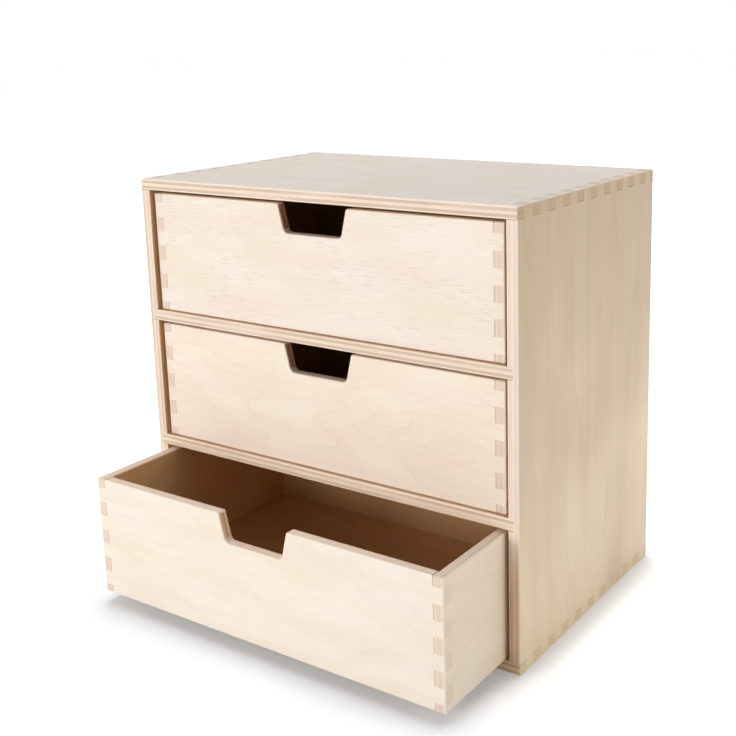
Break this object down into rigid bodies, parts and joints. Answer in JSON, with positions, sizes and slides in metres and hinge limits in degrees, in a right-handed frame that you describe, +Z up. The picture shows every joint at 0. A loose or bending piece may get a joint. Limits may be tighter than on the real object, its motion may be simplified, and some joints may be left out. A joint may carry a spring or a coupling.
{
  "type": "desktop mini drawers",
  "caption": "Small desktop drawer unit in birch plywood with finger-jointed corners and drawers that pull out by a notch in the front's upper edge.",
  "frame": {"origin": "middle of the carcass's footprint, on the surface it stands on", "axes": "+Z up, the drawers open towards -Y, +X to the right seen from the front"},
  "size_m": [0.252, 0.216, 0.2405],
  "materials": {
    "carcass_ply": "bare sanded birch plywood",
    "back_ply": "bare sanded birch plywood",
    "drawer_ply": "bare sanded birch plywood",
    "drawer_bottom_ply": "bare sanded birch plywood"
  },
  "bodies": {
    "carcass": {"top_panel": "carcass_ply", "bottom_panel": "carcass_ply", "left_side": "carcass_ply", "right_side": "carcass_ply", "upper_shelf": "carcass_ply", "lower_shelf": "carcass_ply", "back_panel": "back_ply"},
    "top_drawer": {"top_drawer_front": "drawer_ply", "top_drawer_left_side": "drawer_ply", "top_drawer_right_side": "drawer_ply", "top_drawer_back": "drawer_ply", "top_drawer_bottom": "drawer_bottom_ply"},
    "middle_drawer": {"middle_drawer_front": "drawer_ply", "middle_drawer_left_side": "drawer_ply", "middle_drawer_right_side": "drawer_ply", "middle_drawer_back": "drawer_ply", "middle_drawer_bottom": "drawer_bottom_ply"},
    "bottom_drawer": {"bottom_drawer_front": "drawer_ply", "bottom_drawer_left_side": "drawer_ply", "bottom_drawer_right_side": "drawer_ply", "bottom_drawer_back": "drawer_ply", "bottom_drawer_bottom": "drawer_bottom_ply"}
  },
  "joints": [
    {"name": "top_drawer_slide", "type": "slide", "parent": "carcass", "child": "top_drawer", "axis": [0, -1, 0], "range_m": [0, 0.12]},
    {"name": "middle_drawer_slide", "type": "slide", "parent": "carcass", "child": "middle_drawer", "axis": [0, -1, 0], "range_m": [0, 0.12]},
    {"name": "bottom_drawer_slide", "type": "slide", "parent": "carcass", "child": "bottom_drawer", "axis": [0, -1, 0], "range_m": [-0.058, 0.062]}
  ]
}
